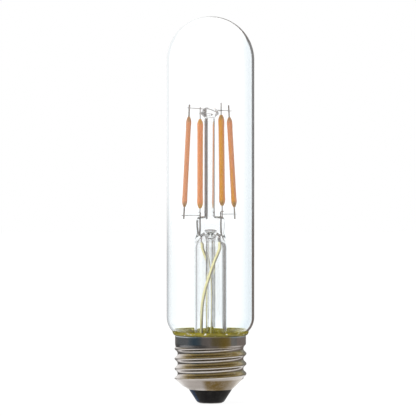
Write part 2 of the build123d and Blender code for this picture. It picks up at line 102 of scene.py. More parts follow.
class Graph:
    """A node tree with short calls for the nodes that the finishes use."""

    def __init__(self, tree: bpy.types.NodeTree) -> None:
        """Take a material's or a world's tree and empty it."""
        self.tree = tree
        tree.nodes.clear()

    def feed(self, socket: Socket, value: Feed) -> None:
        """Link or set one input.

        Args:
            socket: The input.
            value: An output to link, a number, or a colour or vector.
        """
        if isinstance(value, Socket):
            self.tree.links.new(value, socket)
        elif isinstance(value, tuple) and len(value) == 3 and socket.type == "RGBA":
            socket.default_value = (*value, 1.0)
        else:
            socket.default_value = value

    def node(self, kind: str, *numbers: Feed, **settings: Feed | str) -> bpy.types.Node:
        """Add a node, set it and feed its inputs.

        Args:
            kind: The node's type without its ShaderNode prefix.
            *numbers: Its first inputs, in order.
            **settings: Inputs by name, with underscores for spaces, and the node's settings in lower case.

        Returns:
            The new node.
        """
        made = self.tree.nodes.new("ShaderNode" + kind)
        for name, value in settings.items():
            if name.islower():
                setattr(made, name, value)
            else:
                self.feed(made.inputs[name.replace("_", " ")], value)
        for socket, number in zip(made.inputs, numbers):
            self.feed(socket, number)
        return made

    def place(self) -> Socket:
        """The point on the piece in its own frame, in metres."""
        return self.node("TexCoord").outputs["Object"]

    def facing(self) -> Socket:
        """The direction that the piece faces there, in its own frame."""
        return self.node("TexCoord").outputs["Normal"]

    def axes(self, vector: Feed) -> list[Socket]:
        """The three numbers of a vector."""
        return list(self.node("SeparateXYZ", Vector=vector).outputs)

    def math(self, operation: str, *numbers: Feed) -> Socket:
        """One sum, by Blender's name for it, over its numbers in order."""
        return self.node("Math", *numbers, operation=operation).outputs[0]

    def times(self, first: Feed, second: Feed) -> Socket:
        """Two numbers multiplied."""
        return self.math("MULTIPLY", first, second)

    def rest(self, share: Feed) -> Socket:
        """What a share leaves of 1."""
        return self.math("SUBTRACT", 1.0, share)

    def step(self, value: Feed, low: float, high: float) -> Socket:
        """A smooth step of a number, from 0 at one place to 1 at another."""
        made = self.node("MapRange", value, low, high, interpolation_type="SMOOTHSTEP")
        return made.outputs["Result"]

    def rise(self, value: Feed, span: Pair) -> Socket:
        """A smooth step between two lengths in millimetres."""
        return self.step(value, span[0] * MM, span[1] * MM)

    def reach(self, away: Feed, near: float, fade: float) -> Socket:
        """0 up to a distance in millimetres and 1 past that distance times a factor."""
        return self.step(away, near * MM, near * fade * MM)

    def spread(self, value: Feed, span: Pair) -> Socket:
        """A number from 0 to 1 spread over a span."""
        return self.node("MapRange", Value=value, To_Min=span[0], To_Max=span[1]).outputs["Result"]

    def noise(self, place: Feed, scale: float, detail: float = 3.0) -> Socket:
        """Cloudy noise from 0 to 1, with clouds to the metre and finer layers."""
        return self.node("TexNoise", Vector=place, Scale=scale, Detail=detail).outputs[0]

    def stretch(self, place: Feed, scale: Spot) -> Socket:
        """A place scaled by a factor along each axis."""
        return self.node("Mapping", Vector=place, Scale=scale).outputs[0]

    def mix(self, share: Feed, first: Feed, second: Feed, blend: Blend = Blend.OVER) -> Socket:
        """A colour between two others.

        Args:
            share: 0 for the first, 1 for the second.
            first: The first colour.
            second: The second colour.
            blend: How the second is laid on the first.

        Returns:
            The colour.
        """
        made = self.node("Mix", share, data_type="RGBA", blend_type=blend.value)
        for number, colour in zip(MIX_INPUTS, (first, second)):
            self.feed(made.inputs[number], colour)
        return made.outputs[MIX_OUTPUT]

    def ramp(self, value: Feed, stops: Stops) -> Socket:
        """Colours along a number.

        Args:
            value: The number.
            stops: Each place from 0 to 1 and its colour.

        Returns:
            The colour.
        """
        made = self.node("ValToRGB", value)
        marks = made.color_ramp.elements
        while len(marks) < len(stops):
            marks.new(1.0)
        for mark, (where, colour) in zip(marks, stops):
            mark.position = where
            mark.color = (*colour, 1.0)
        return made.outputs[0]

    def bump(self, height: Feed, rise: float, strength: float = 1.0) -> Socket:
        """The normal of a surface raised by a number from 0 to 1, in millimetres."""
        return self.node("Bump", Height=height, Distance=rise * MM, Strength=strength).outputs[0]

    def ray(self, kind: Ray | Count) -> Socket:
        """1 on rays of a kind and 0 on the rest, or a count along a ray's path."""
        return self.node("LightPath").outputs[kind.value]

    def few(self, faces: int) -> Socket:
        """1 on rays that passed at most a number of glass faces."""
        return self.math("LESS_THAN", self.ray(Count.PASSED), faces + 0.5)

    def blend(self, share: Feed, first: Feed, second: Feed) -> Socket:
        """A shader between two others, the first at a share of 0 and the second at 1."""
        return self.node("MixShader", share, first, second).outputs[0]

    def surface(self, shader: Socket) -> None:
        """Make a shader the material's surface."""
        self.node("OutputMaterial", Surface=shader)

    def principled(self, **inputs: Feed) -> Socket:
        """A principled shader with the named inputs fed."""
        return self.node("BsdfPrincipled", **inputs).outputs[0]

    def solid(self, **inputs: Feed) -> None:
        """Make the material's surface a principled shader with the named inputs fed."""
        self.surface(self.principled(**inputs))

    def glow(self, colour: Feed, strength: float) -> Socket:
        """A shader that gives off light."""
        return self.node("Emission", Color=colour, Strength=strength).outputs[0]


@dataclass(frozen=True)
class Finish:
    """A finish that several pieces may share.

    In every finish an edge says where a smooth step starts and ends, a pair called a rise gives a height
    and a strength, and a reach gives a distance and the factor past which it has faded.
    """

    name: str

    def material(self) -> bpy.types.Material:
        """The finish's material, made on first use.

        Returns:
            The material.
        """
        made = bpy.data.materials.get(self.name)
        if made is None:
            made = bpy.data.materials.new(self.name)
            made.use_nodes = True
            self.paint(Graph(made.node_tree))
        return made

    def paint(self, graph: Graph) -> None:
        """Lay the finish's nodes in an empty tree."""
        raise NotImplementedError

    def dress(self, piece: bpy.types.Object) -> None:
        """Give a piece this finish alone."""
        piece.data.materials.clear()
        piece.data.materials.append(self.material())


@dataclass(frozen=True)
class BlownGlass(Finish):
    """Clear glass with a faint drawn ripple, a shade bluer towards its foot, where cement films it."""

    film: Colour
    low: Colour
    high: Colour
    ior: float
    ripple: float
    film_top: Pair = (25.9, 26.3)
    dull_top: Pair = (27.0, 33.0)
    dull: Colour = (0.1, 0.1, 0.1)
    shift: Pair = (20.0, 110.0)
    drawn: Spot = (1.0, 1.0, 0.15)
    draws: float = 160.0
    past: Colour = (0.985, 0.99, 0.99)

    def paint(self, graph: Graph) -> None:
        """Lay the glass, which lets light past itself to what it holds.

        Args:
            graph: The empty tree.
        """
        place = graph.place()
        height = graph.axes(place)[2]
        bare, bright, lift = (graph.rise(height, span) for span in (self.film_top, self.dull_top, self.shift))
        drawn = graph.noise(graph.stretch(place, self.drawn), self.draws, 1.0)
        glass = graph.principled(
            Base_Color=graph.mix(bare, self.film, graph.mix(lift, self.low, self.high)),
            Roughness=0.0,
            IOR=self.ior,
            Transmission_Weight=1.0,
            Specular_Tint=graph.mix(bright, self.dull, WHITE),
            Normal=graph.bump(drawn, self.ripple),
        )
        clear = graph.node("BsdfTransparent", Color=self.past).outputs[0]
        soft = graph.blend(graph.ray(Ray.DIFFUSE), glass, clear)
        graph.surface(graph.blend(graph.ray(Ray.SHADOW), soft, clear))


@dataclass(frozen=True)
class PaintedLightPatch:
    """A patch of painted light on a turned piece, between two heights and about one turn from the front:
    colour laid on in place of reflections, sheen and shade.

    A patch set to face up lies only where the piece faces up.
    """

    colour: Colour
    share: float
    turn: float
    spread: float
    foot: float
    head: float
    facing_up_only: bool = False
    core: float = 0.6
    outer: float = 0.4
    inner: float = 0.2
    upward: Pair = (-0.2, 0.2)

    def lay(self, graph: Graph, base: Feed, patches: Feed) -> Socket:
        """Lay the painted light over a colour.

        Args:
            graph: The tree.
            base: The colour under it.
            patches: How full it is at each point.

        Returns:
            The stained colour.
        """
        x, y, z = graph.axes(graph.place())
        turn = graph.math("ARCTAN2", x, graph.times(y, -1.0))
        off = graph.math("ABSOLUTE", graph.math("SUBTRACT", turn, radians(self.turn)))
        near = graph.rest(graph.step(off, radians(self.spread * self.core), radians(self.spread)))
        above = graph.rise(z, (self.foot - self.outer, self.foot + self.inner))
        below = graph.rise(z, (self.head - self.inner, self.head + self.outer))
        full = graph.times(graph.times(near, graph.math("SUBTRACT", above, below)), patches)
        if self.facing_up_only:
            full = graph.times(full, graph.step(graph.axes(graph.facing())[2], *self.upward))
        # The patch's colour is painted light laid over the base colour.
        return graph.mix(graph.times(full, self.share), base, self.colour)


@dataclass(frozen=True)
class RolledPlate(Finish):
    """Nickel-plated sheet, drawn and rolled, with painted reflections and painted shade laid on it."""

    clean: Colour
    painted_light: Sequence[PaintedLightPatch]
    dim: float = 0.92
    squash: Spot = (1.0, 1.0, 1.5)
    clouds: float = 300.0
    flecks: float = 1900.0
    fleck_share: float = 0.6
    cloud_edge: Pair = (0.3, 0.7)
    patch_edge: Pair = (0.32, 0.56)
    patch_least: float = 0.55
    rough: Pair = (0.14, 0.3)
    lines: Spot = (120.0, 120.0, 2600.0)
    line_rise: Pair = (0.004, 0.6)

    def paint(self, graph: Graph) -> None:
        """Lay the plate and its painted reflections and shade in patches.

        Args:
            graph: The empty tree.
        """
        place = graph.place()
        cloud = graph.noise(graph.stretch(place, self.squash), self.clouds, 4.0)
        flecked = graph.mix(self.fleck_share, cloud, graph.noise(place, self.flecks, 2.0))
        patches = graph.node("MapRange", flecked, *self.patch_edge, self.patch_least)
        dim = tuple(self.dim * part for part in self.clean)
        colour = graph.mix(graph.step(cloud, *self.cloud_edge), dim, self.clean)
        # Painted reflections and painted shade go over the plate here, patch by patch.
        for light_patch in self.painted_light:
            colour = light_patch.lay(graph, colour, patches.outputs["Result"])
        lines = graph.noise(graph.stretch(place, self.lines), 1.0, 2.0)
        graph.solid(
            Base_Color=colour,
            Metallic=1.0,
            Roughness=graph.spread(cloud, self.rough),
            Normal=graph.bump(lines, *self.line_rise),
        )


@dataclass(frozen=True)
class Mottled(Finish):
    """An opaque finish of two close colours in clouds, with a grain."""

    first: Colour
    second: Colour
    clouds: float
    grain: float
    rise: float
    metallic: float = 0.0
    rough: Pair = (0.35, 0.55)
    shine: float = 0.5
    painted_light: Sequence[PaintedLightPatch] = ()
    cloud_edge: Pair = (0.35, 0.65)

    def paint(self, graph: Graph) -> None:
        """Lay the two colours, any painted light and the grain.

        Args:
            graph: The empty tree.
        """
        place = graph.place()
        cloud = graph.noise(place, self.clouds, 4.0)
        grain = graph.noise(place, self.grain, 2.0)
        colour = graph.mix(graph.step(cloud, *self.cloud_edge), self.first, self.second)
        # Any patches here are painted light: painted sheen over the colours.
        for light_patch in self.painted_light:
            colour = light_patch.lay(graph, colour, 1.0)
        graph.solid(
            Base_Color=colour,
            Metallic=self.metallic,
            Roughness=graph.spread(grain, self.rough),
            Specular_IOR_Level=self.shine,
            Normal=graph.bump(grain, self.rise),
        )


@dataclass(frozen=True)
class SoftTube(Finish):
    """Thin silicone tube: pale yellow, darker down its +X side, which is painted shade away from the key lamp
    and stands also for the wire inside showing through.
    """

    first: Colour
    second: Colour
    wire: Colour
    clouds: float = 260.0
    grain: float = 1800.0
    rise: float = 0.01
    rough: float = 0.3
    drift: float = 0.5
    side: Pair = (0.3, 0.72)
    shown: float = 0.85

    def paint(self, graph: Graph) -> None:
        """Lay the tube, with painted shade down its +X side, where the wire also lies against its wall.

        Args:
            graph: The empty tree.
        """
        place = graph.place()
        cloud = graph.noise(place, self.clouds, 3.0)
        # Painted shade: faces turned to +X, away from the key lamp, take the wire's darker colour.
        drift = graph.math("MULTIPLY_ADD", cloud, self.drift, graph.axes(graph.facing())[0])
        shown = graph.times(graph.step(drift, *self.side), self.shown)
        graph.solid(
            Base_Color=graph.mix(shown, graph.mix(cloud, self.first, self.second), self.wire),
            Roughness=self.rough,
            Normal=graph.bump(graph.noise(place, self.grain, 2.0), self.rise),
        )


@dataclass(frozen=True)
class Cement(Finish):
    """Resin cement: olive, glossy in places, with pale specks that are painted glints, and matt where it
    meets the glass.
    """

    body: Colour
    deep: Colour
    glint: Colour
    clouds: float = 420.0
    squash: Spot = (0.7, 0.7, 1.4)
    cloud_edge: Pair = (0.38, 0.62)
    glints: float = 1000.0
    glint_edge: Pair = (0.63, 0.68)
    rough: Pair = (0.22, 0.5)
    inner: Pair = (0.0, 0.4)
    shine: Pair = (0.5, 0.0)
    rise: Pair = (0.25, 0.7)

    def paint(self, graph: Graph) -> None:
        """Lay the resin.

        Args:
            graph: The empty tree.
        """
        place = graph.place()
        cloud = graph.noise(place, self.clouds, 4.0)
        glints = graph.noise(graph.stretch(place, self.squash), self.glints, 2.0)
        base = graph.mix(graph.step(cloud, *self.cloud_edge), self.deep, self.body)
        inside = graph.step(graph.axes(graph.facing())[2], *self.inner)
        graph.solid(
            # Painted highlights: the pale specks are glints painted into the colour.
            Base_Color=graph.mix(graph.step(glints, *self.glint_edge), base, self.glint),
            Roughness=graph.spread(cloud, self.rough),
            Specular_IOR_Level=graph.spread(inside, self.shine),
            Normal=graph.bump(cloud, *self.rise),
        )


@dataclass(frozen=True)
class LightCoat(Finish):
    """Silicone coat with light powder in it: salmon, amber down one side and olive at the ends."""

    edge: Colour
    stripe: Colour
    end: Colour
    guide: str = "coat_place"
    powder: float = 2200.0
    clouds: float = 520.0
    drawn: Spot = (1.0, 1.0, 0.3)
    drift: float = 0.5
    stripe_edge: Pair = (0.72, 1.12)
    end_drift: float = 0.05
    end_edge: Pair = (0.45, 0.50)
    front_edge: Pair = (0.35, 0.85)
    end_share: float = 0.7
    powder_edge: Pair = (0.3, 0.75)
    grain: Colour = (0.86, 0.84, 0.82)
    rough: float = 0.42
    depth: float = 0.4
    glow: Spot = (0.6, 0.3, 0.15)
    glow_share: float = 0.25
    rise: Pair = (0.02, 0.6)

    def paint(self, graph: Graph) -> None:
        """Lay the coat from each point's turn to the camera, turn to the amber side and place along it.

        Args:
            graph: The empty tree.
        """
        guide = graph.node("Attribute", attribute_name=self.guide).outputs["Vector"]
        front, amber, along = graph.axes(guide)
        place = graph.place()
        powder = graph.noise(place, self.powder, 3.0)
        cloud = graph.noise(graph.stretch(place, self.drawn), self.clouds, 3.0)
        stripe = graph.step(graph.math("MULTIPLY_ADD", cloud, self.drift, amber), *self.stripe_edge)
        from_end = graph.math("ABSOLUTE", graph.math("SUBTRACT", along, 0.5))
        worn = graph.step(graph.math("MULTIPLY_ADD", cloud, self.end_drift, from_end), *self.end_edge)
        ends = graph.times(worn, graph.step(front, *self.front_edge))
        base = graph.mix(stripe, self.edge, self.stripe)
        shade = graph.mix(graph.times(ends, self.end_share), base, self.end)
        grain = graph.mix(graph.step(powder, *self.powder_edge), self.grain, WHITE)
        graph.solid(
            Base_Color=graph.mix(1.0, shade, grain, Blend.TINT),
            Roughness=self.rough,
            Subsurface_Weight=self.glow_share,
            Subsurface_Radius=self.glow,
            Subsurface_Scale=self.depth * MM,
            Normal=graph.bump(powder, *self.rise),
        )


@dataclass(frozen=True)
class Board(Finish):
    """Green board with copper tracks under its lacquer."""

    lacquer: Colour
    track: Colour
    tracks: float = 900.0
    weave: float = 2500.0
    weave_share: float = 0.3
    rough: float = 0.35
    rise: float = 0.02

    def paint(self, graph: Graph) -> None:
        """Lay the tracks and the lacquer.

        Args:
            graph: The empty tree.
        """
        place = graph.place()
        bricks = graph.node("TexBrick", Vector=place, Scale=self.tracks)
        weave = graph.noise(place, self.weave, 2.0)
        colour = graph.mix(bricks.outputs["Fac"], self.lacquer, self.track)
        graph.solid(
            Base_Color=graph.mix(graph.times(weave, self.weave_share), colour, self.lacquer),
            Roughness=self.rough,
            Normal=graph.bump(weave, self.rise),
        )


@dataclass(frozen=True)
class Surround(Finish):
    """The room round the lamp, which only gloss and glass see, by compass direction."""

    through_table: Stops = (
        (-180, WHITE), (-70, WHITE), (-64, HAZE), (-38, HAZE), (-30, WHITE), (12, WHITE), (18, DUSK),
        (70, DUSK), (76, WHITE), (180, WHITE))
    through_wall: Stops = (
        (-180, DUSK), (-118, DUSK), (-108, WHITE), (-74, WHITE), (-66, HAZE), (-38, HAZE), (-30, WHITE),
        (12, WHITE), (18, DUSK), (70, DUSK), (76, WHITE), (104, WHITE), (110, DUSK), (180, DUSK))
    gloss_table: Stops = (
        (-180, (0.17, 0.155, 0.145)), (-150, (0.13, 0.13, 0.13)), (-128, (0.035, 0.075, 0.105)),
        (-105, (0.12, 0.12, 0.125)), (-60, (0.12, 0.12, 0.12)), (-20, (0.2, 0.19, 0.18)),
        (0, (0.42, 0.4, 0.38)), (17, (0.2, 0.18, 0.17)), (90, (0.24, 0.21, 0.195)),
        (112, (0.3, 0.26, 0.24)), (126, (0.25, 0.19, 0.06)), (144, (0.21, 0.165, 0.06)),
        (158, (0.17, 0.15, 0.13)), (180, (0.17, 0.155, 0.145)))
    gloss_wall: Stops = (
        (-180, (0.17, 0.16, 0.155)), (-130, (0.17, 0.17, 0.17)), (-100, (0.8, 0.8, 0.8)), (-70, WHITE),
        (-2, WHITE), (3, (0.2, 0.18, 0.17)), (18, (0.2, 0.19, 0.18)), (30, (0.44, 0.5, 0.54)),
        (96, (0.44, 0.48, 0.5)), (130, (0.17, 0.16, 0.15)), (180, (0.17, 0.16, 0.155)))
    pane: Stops = ((-180, WHITE), (3, WHITE), (11, FROST), (28, FROST), (36, WHITE), (180, WHITE))
    rim: Stops = (
        (-180, WHITE), (-44, WHITE), (-34, PEARL), (-2, PEARL), (2, UMBER), (34, UMBER), (42, WHITE),
        (180, WHITE))
    gloss_rise: Pair = (30.0, 90.0)
    # Painted shadow: the table round the lamp's foot is dark to rays seen through the glass.
    foot: Colour = DUSK
    foot_shadow_reach: Pair = (58.0, 1.3)
    left_reach: Pair = (300.0, 1.1)
    right_reach: Pair = (110.0, 1.1)
    middle: Pair = (-20.0, 20.0)
    gloss_reach: Pair = (28.0, 1.8)
    shade: Colour = (0.60, 0.58, 0.56)
    shade_reach: Pair = (9.5, 2.0)
    wall_foot: Pair = (600.0, 675.0)
    lift: float = 1.17

    def paint(self, graph: Graph) -> None:
        """Lay the room's colours: for glass and for gloss, on the table and on the wall, with a painted
        shadow on the table round the lamp's foot.

        Args:
            graph: The empty tree.
        """
        x, y, z = graph.axes(graph.place())
        share = graph.math("MULTIPLY_ADD", graph.math("ARCTAN2", x, y), 0.5 / pi, 0.5)
        away = graph.math("SQRT", graph.math("ADD", graph.math("POWER", x, 2.0), graph.math("POWER", y, 2.0)))
        upright = graph.rise(away, self.wall_foot)
        # Painted shadow on the table round the lamp's foot, for rays through the glass.
        bare = graph.mix(graph.reach(away, *self.foot_shadow_reach), self.foot, WHITE)
        left, right = (graph.reach(away, *reach) for reach in (self.left_reach, self.right_reach))
        beyond = graph.mix(graph.rise(x, self.middle), left, right)
        table = graph.mix(beyond, bare, self.ramp(graph, share, self.through_table))
        mount = graph.mix(upright, table, self.ramp(graph, share, self.through_wall))
        mirrored = graph.math("GREATER_THAN", graph.ray(Count.MIRRORED), 0.5)
        rim = graph.times(graph.few(WALL_FACES), mirrored)
        pane = graph.mix(rim, self.ramp(graph, share, self.pane), self.ramp(graph, share, self.rim))
        through = graph.mix(graph.few(ENVELOPE_FACES), mount, pane)
        close = graph.mix(graph.reach(away, *self.shade_reach), self.shade, WHITE)
        far = self.ramp(graph, share, self.gloss_table)
        table = graph.mix(graph.reach(away, *self.gloss_reach), close, far)
        lofty = graph.times(upright, graph.rise(z, self.gloss_rise))
        gloss = graph.mix(lofty, table, self.ramp(graph, share, self.gloss_wall))
        glass = graph.ray(Ray.THROUGH)
        shown = graph.math("MAXIMUM", graph.ray(Ray.GLOSSY), glass)
        light = graph.glow(graph.mix(glass, gloss, through), self.lift)
        clear = graph.node("BsdfTransparent").outputs[0]
        graph.surface(graph.blend(shown, clear, light))

    @staticmethod
    def ramp(graph: Graph, share: Feed, stops: Stops) -> Socket:
        """Colours by compass, at angles in degrees from +Y towards +X, for a share of a turn from -Y."""
        return graph.ramp(share, [((degrees + 180.0) / 360.0, colour) for degrees, colour in stops])


@dataclass(frozen=True)
class PaleFloor(Finish):
    """A white table that keeps the lamp's shadow."""

    strength: float
    share: float
    first: Colour = (0.82, 0.82, 0.82)
    second: Colour = (0.86, 0.86, 0.86)
    clouds: float = 3.0
    rough: float = 0.9

    def paint(self, graph: Graph) -> None:
        """Lay a white that the camera, gloss and glass see, over a matt white that takes shadow.

        Args:
            graph: The empty tree.
        """
        cloud = graph.noise(graph.place(), self.clouds, 2.0)
        matt = graph.principled(Base_Color=graph.mix(cloud, self.first, self.second), Roughness=self.rough)
        seen = graph.math("MAXIMUM", graph.ray(Ray.CAMERA), graph.ray(Ray.GLOSSY))
        seen = graph.math("MAXIMUM", seen, graph.ray(Ray.THROUGH))
        graph.surface(graph.blend(graph.times(seen, self.share), matt, graph.glow(WHITE, self.strength)))


CLEAR_GLASS = BlownGlass("envelope_glass", (0.80, 0.76, 0.28), (0.962, 0.988, 1.0), (0.993, 0.998, 1.0),
                         1.5, 0.001)
MOUNT_GLASS = BlownGlass("mount_glass", (0.982, 0.988, 0.99), (0.982, 0.988, 0.99), (0.992, 0.992, 0.99),
                         1.54, 0.002)
SHELL_PLATE = RolledPlate("shell_plate", (0.54, 0.50, 0.47), (
    # Painted reflection: dark olive-brown across the front of the cone, for the shaded table under the lamp.
    PaintedLightPatch((0.19, 0.122, 0.028), 1.0, 14.0, 33.0, 4.5, 8.7),
    # Painted shade: a browner right side of the cone, away from the key lamp.
    PaintedLightPatch((0.33, 0.27, 0.19), 0.75, 62.0, 40.0, 4.5, 8.7),
    # Painted reflection: olive in mottled patches on the upward thread flanks across the front.
    PaintedLightPatch((0.28, 0.205, 0.065), 0.95, 16.0, 85.0, 8.7, 20.6, facing_up_only=True),
    # Painted reflections: blue, slate and olive upright stripes round the collar.
    PaintedLightPatch((0.12, 0.25, 0.33), 0.6, -27.0, 15.0, 21.3, 25.0),
    PaintedLightPatch((0.34, 0.40, 0.44), 0.7, -58.0, 26.0, 21.3, 25.0),
    PaintedLightPatch((0.36, 0.30, 0.11), 0.8, 18.0, 21.0, 21.3, 25.0),
    # Painted shade: a dark band round the left of the collar's foot.
    PaintedLightPatch((0.15, 0.15, 0.155), 0.9, -42.0, 44.0, 20.5, 21.4),
    # Painted reflection: a faint blue stripe on the collar's right.
    PaintedLightPatch((0.16, 0.29, 0.33), 0.4, 41.0, 8.0, 21.3, 25.0),
))
FOOT_BLACK = Mottled("foot_black", (0.013, 0.012, 0.012), (0.019, 0.018, 0.017), 300.0, 900.0, 0.01,
                     rough=(0.3, 0.45), shine=0.08,
                     # Painted sheen: a dark blue streak down the foot's left side, for a blue reflection
                     # there.
                     painted_light=(PaintedLightPatch((0.004, 0.03, 0.085), 0.9, -66.0, 18.0, 0.8, 4.9),))
CONTACT_TIN = Mottled("contact_tin", (0.55, 0.53, 0.50), (0.42, 0.40, 0.38), 500.0, 1400.0, 0.02, 1.0)
# Painted highlights: the last colour is the white of the glints painted as specks.
CEMENT = Cement("cement", (0.345, 0.290, 0.016), (0.215, 0.178, 0.010), (0.85, 0.84, 0.74))
COAT = LightCoat("light_coat", (0.76, 0.305, 0.125), (0.745, 0.315, 0.010), (0.30, 0.20, 0.07))
# Painted light: a lighter copy of the coat's colours, given to the back filament to make up for the light it
# gets.
PAINTED_LIT_COAT = LightCoat("painted_lit_coat", (0.93, 0.365, 0.135), (0.92, 0.43, 0.03), (0.62, 0.36, 0.04))
STRIP = Mottled("strip_ceramic", (0.72, 0.66, 0.52), (0.80, 0.76, 0.66), 900.0, 2600.0, 0.01)
CHIPS = Mottled("chips", (0.75, 0.60, 0.22), (0.60, 0.52, 0.30), 1800.0, 4000.0, 0.005)
PINS = Mottled("pin_metal", (0.22, 0.185, 0.165), (0.32, 0.275, 0.24), 900.0, 3200.0, 0.01, 0.9, (0.3, 0.5))
MOUNT_WIRE = Mottled("bare_wire", (0.34, 0.32, 0.31), (0.46, 0.43, 0.41), 900.0, 4200.0, 0.005, 1.0,
                     (0.25, 0.4))
LEAD_WIRE = Mottled("lead_wire", (0.21, 0.18, 0.17), (0.31, 0.26, 0.23), 700.0, 3800.0, 0.005, 1.0,
                    (0.25, 0.4))
# The third colour is the painted shade down the +X side, also the wire's colour.
SLEEVE = SoftTube("sleeve", (1.0, 0.93, 0.50), (1.0, 0.89, 0.42), (0.20, 0.155, 0.11))
BOARD = Board("board", (0.02, 0.11, 0.04), (0.05, 0.20, 0.07))
BLACK_BODY = Mottled("moulded_black", (0.02, 0.02, 0.02), (0.035, 0.035, 0.035), 700.0, 3000.0, 0.02)
CAN_SLEEVE = Mottled("can_sleeve", (0.02, 0.03, 0.09), (0.03, 0.045, 0.13), 400.0, 2200.0, 0.01)
FUSE_BODY = Mottled("fuse_body", (0.45, 0.40, 0.28), (0.53, 0.48, 0.36), 500.0, 2400.0, 0.02)
DRIVER_WIRE = Mottled("tinned_wire", (0.62, 0.58, 0.54), (0.72, 0.68, 0.63), 600.0, 3200.0, 0.005, 1.0,
                      (0.2, 0.35))


def turns(count: int) -> list[float]:
    """Even angles round a full turn."""
    return [2 * pi * n / count for n in range(count)]


def polar(radius: float, turn: float, height: float) -> Vector:
    """A point at a distance from the axis, a turn about it and a height."""
    return Vector((radius * cos(turn), radius * sin(turn), height))


def circle(radius: float, height: float, count: int) -> Ring:
    """A level ring about the axis."""
    return [polar(radius, t, height) for t in turns(count)]


def circles(profile: Profile, count: int) -> list[Ring]:
    """A level ring about the axis at each (radius, height) of a profile."""
    return [circle(radius, height, count) for radius, height in profile]


def oval(wide: float, deep: float, power: float, height: float, count: int) -> Ring:
    """A level ring between an ellipse and a rounded slot.

    Args:
        wide: Half its width along X.
        deep: Half its depth along Y.
        power: 2 for an ellipse, more for a squarer ring.
        height: Its height.
        count: How many points it has.

    Returns:
        The ring.
    """
    ring = []
    for t in turns(count):
        c, s = cos(t), sin(t)
        reach = (abs(c / wide) ** power + abs(s / deep) ** power) ** (-1.0 / power)
        ring.append(Vector((reach * c, reach * s, height)))
    return ring


def arc(centre: Pair, radius: float, start: float, end: float, count: int) -> list[Pair]:
    """Points of (radius, height) along an arc.

    Args:
        centre: The arc's centre.
        radius: The arc's radius.
        start: Its first angle above the level, in degrees.
        end: Its last angle.
        count: How many points it has.

    Returns:
        The points.
    """
    steps = [radians(start + (end - start) * n / (count - 1)) for n in range(count)]
    return [(centre[0] + radius * cos(t), centre[1] + radius * sin(t)) for t in steps]


def smooth(points: Sequence[tuple[float, ...]], parts: int) -> list[tuple[float, ...]]:
    """A profile or a path with a smooth curve run through its points.

    Args:
        points: The points of (radius, height) or of (x, y, z).
        parts: How many steps each gap is divided into.

    Returns:
        The finer points.
    """
    ends = [Vector(points[0]), *map(Vector, points), Vector(points[-1])]
    fine = []
    for a, b, c, d in zip(ends, ends[1:], ends[2:], ends[3:]):
        slope, bend, twist = c - a, 2 * a - 5 * b + 4 * c - d, 3 * b - a - 3 * c + d
        for t in (n / parts for n in range(parts)):
            fine.append(tuple(0.5 * (2 * b + slope * t + bend * t**2 + twist * t**3)))
    fine.append(tuple(points[-1]))
    return fine


def skin(rings: Sequence[Ring], start: Vector | None = None, end: Vector | None = None,
         looped: bool = False) -> Skin:
    """Join rings of equal length, outside first, from the top down.

    Args:
        rings: The rings, each anticlockwise from above.
        start: A point that closes the first ring.
        end: A point that closes the last ring.
        looped: Whether the last ring joins the first.

    Returns:
        The points and the faces.
    """
    count = len(rings[0])
    points = [p for ring in rings for p in ring]
    faces = []
    pairs = list(zip(range(len(rings)), range(1, len(rings))))
    if looped:
        pairs.append((len(rings) - 1, 0))
    for upper, lower in pairs:
        for n in range(count):
            m = (n + 1) % count
            faces.append((upper * count + n, lower * count + n, lower * count + m, upper * count + m))
    if start is not None:
        points.append(start)
        faces += [(len(points) - 1, n, (n + 1) % count) for n in range(count)]
    if end is not None:
        points.append(end)
        last = (len(rings) - 1) * count
        faces += [(len(points) - 1, last + (n + 1) % count, last + n) for n in range(count)]
    return points, faces


def tube(path: Sequence[Vector], radius: float, count: int) -> Skin:
    """A round tube with closed ends along a path.

    Args:
        path: The points of its centre line, from the top down.
        radius: Its radius.
        count: How many points each ring has.

    Returns:
        The points and the faces.
    """
    rings = []
    side = Vector((1.0, 0.0, 0.0))
    for before, here, after in zip([path[0], *path], path, [*path[1:], path[-1]]):
        along = (before - after).normalized()
        side = (side - along * side.dot(along)).normalized()
        other = along.cross(side)
        rings.append([here + (side * cos(t) + other * sin(t)) * radius for t in turns(count)])
    return skin(rings, path[0], path[-1])


def hang(name: str, data: bpy.types.ID, place: Spot = (0.0, 0.0, 0.0)) -> bpy.types.Object:
    """Hang a mesh, a lamp or a camera in the scene.

    Args:
        name: The object's name.
        data: What it shows.
        place: Where it hangs.

    Returns:
        The object.
    """
    made = bpy.data.objects.new(name, data)
    made.location = Vector(place) * MM
    bpy.context.scene.collection.objects.link(made)
    return made


def stand(name: str, made: Skin) -> bpy.types.Object:
    """Stand a skin, in millimetres, in the scene.

    Args:
        name: The object's name.
        made: The points and the faces.

    Returns:
        The object.
    """
    points, faces = made
    mesh = bpy.data.meshes.new(name)
    mesh.from_pydata([p * MM for p in points], [], faces)
    return hang(name, mesh)


def dress(name: str, finish: Finish) -> None:
    """Dress a solid of the frame as it is."""
    finish.dress(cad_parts[name])
    LOG.info("%s: dressed", name)


@dataclass
class Piece:
    """One made piece: its mesh, its finish and what it stands for."""

    name: str
    finish: Finish
    slot: str
    nodes: Sequence[str]

    def build(self, crease: float, *skins: Skin) -> bpy.types.Object:
        """Make the object, dress it, set it on the lamp and let it stand for its nodes.

        Args:
            crease: The angle in degrees from which an edge shows.
            *skins: Its skins, in millimetres.

        Returns:
            The object.
        """
        points, faces = [], []
        for more, sides in skins:
            faces += [tuple(len(points) + n for n in side) for side in sides]
            points += more
        made = stand(self.name, (points, faces))
        made.data.shade_smooth()
        made.data.set_sharp_from_angle(angle=radians(crease))
        self.finish.dress(made)
        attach(made, BODY)
        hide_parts(*self.nodes)
        LOG.info("%s: %d faces", made.name, len(made.data.polygons))
        return made


